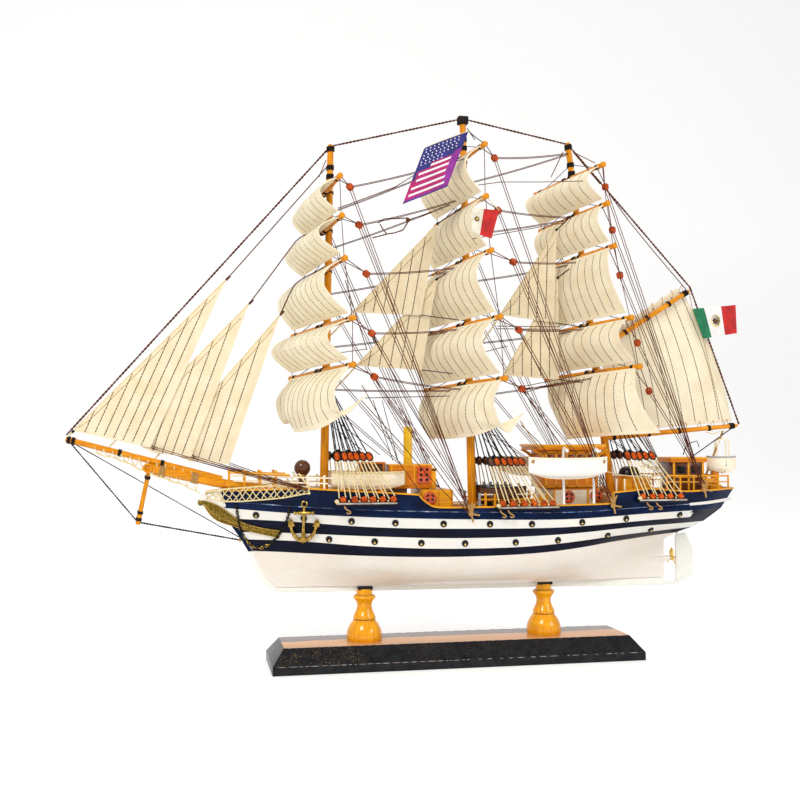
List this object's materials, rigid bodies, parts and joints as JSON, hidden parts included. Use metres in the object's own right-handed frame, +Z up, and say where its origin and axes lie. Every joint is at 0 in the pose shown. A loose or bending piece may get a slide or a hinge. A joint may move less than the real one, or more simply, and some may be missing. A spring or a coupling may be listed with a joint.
{
  "type": "wooden display model of a tall ship on a stand",
  "caption": "Wooden display model of a full-rigged tall ship with cloth sails, striped hull, turning propeller and rudder, on two turned pedestals and a bevelled plinth.",
  "frame": {"origin": "centre of the plinth's underside", "axes": "+X aft, with the bow at -X, +Y to starboard, +Z up"},
  "size_m": [0.615, 0.1215, 0.4894],
  "materials": {
    "plinth_black": "black gloss paint on wood, the top varnished",
    "pedestal_varnish": "turned wood in golden varnish",
    "hull_paint": "carved wood, ivory below and navy above with pale stripes",
    "board_white": "thin board in off-white paint",
    "brass": "dull brass",
    "spar_varnish": "orange varnish",
    "sail_cloth": "stiffened cream cotton",
    "rigging": "black and dark-brown thread with wooden blocks",
    "house_varnish": "orange varnish",
    "brown_varnish": "brown varnish",
    "cream_paint": "cream paint",
    "white_gloss": "white gloss paint",
    "dark_wood": "dark-brown stain",
    "flag_cloth": "printed cloth or paper"
  },
  "bodies": {
    "ship": {"plinth": "plinth_black", "pedestal_fore": "pedestal_varnish", "pedestal_aft": "pedestal_varnish", "hull": "hull_paint", "keel_board": "board_white", "anchor_port": "brass", "anchor_starboard": "brass", "bowsprit": "spar_varnish", "mast_fore": "spar_varnish", "mast_main": "spar_varnish", "mast_mizzen": "spar_varnish", "sail_fore_1": "sail_cloth", "sail_fore_2": "sail_cloth", "sail_fore_3": "sail_cloth", "sail_fore_4": "sail_cloth", "sail_fore_5": "sail_cloth", "sail_main_1": "sail_cloth", "sail_main_2": "sail_cloth", "sail_main_3": "sail_cloth", "sail_main_4": "sail_cloth", "sail_main_5": "sail_cloth", "sail_mizzen_1": "sail_cloth", "sail_mizzen_2": "sail_cloth", "sail_mizzen_3": "sail_cloth", "sail_mizzen_4": "sail_cloth", "sail_mizzen_5": "sail_cloth", "jib_outer": "sail_cloth", "jib_middle": "sail_cloth", "jib_inner": "sail_cloth", "staysail_main_upper": "sail_cloth", "staysail_main_lower": "sail_cloth", "staysail_mizzen_upper": "sail_cloth", "staysail_mizzen_lower": "sail_cloth", "spanker": "sail_cloth", "channel_fore_port": "rigging", "channel_fore_starboard": "rigging", "channel_main_port": "rigging", "channel_main_starboard": "rigging", "channel_mizzen_port": "rigging", "channel_mizzen_starboard": "rigging", "masthead_stays": "rigging", "deckhouse_fore": "house_varnish", "step_house": "house_varnish", "stern_house": "house_varnish", "wheelhouse": "house_varnish", "poop_house": "house_varnish", "galley_box": "brown_varnish", "capstan": "brown_varnish", "midship_house": "cream_paint", "longboat_port": "cream_paint", "longboat_starboard": "cream_paint", "stern_boat": "cream_paint", "boat_port": "white_gloss", "boat_starboard": "white_gloss", "waist_boat_port": "dark_wood", "waist_boat_starboard": "dark_wood", "flag_main": "flag_cloth", "ensign": "flag_cloth"},
    "screw": {"propeller": "brass"},
    "rudder_blade": {"rudder": "board_white"}
  },
  "joints": [
    {"name": "screw_turn", "type": "hinge", "parent": "ship", "child": "screw", "pos_m": [0.207, 0, 0.0855], "axis": [1, 0, 0], "continuous": true},
    {"name": "rudder_turn", "type": "hinge", "parent": "ship", "child": "rudder_blade", "pos_m": [0.214, 0, 0.086], "axis": [0, 0, 1], "range_deg": [-30, 30]}
  ]
}
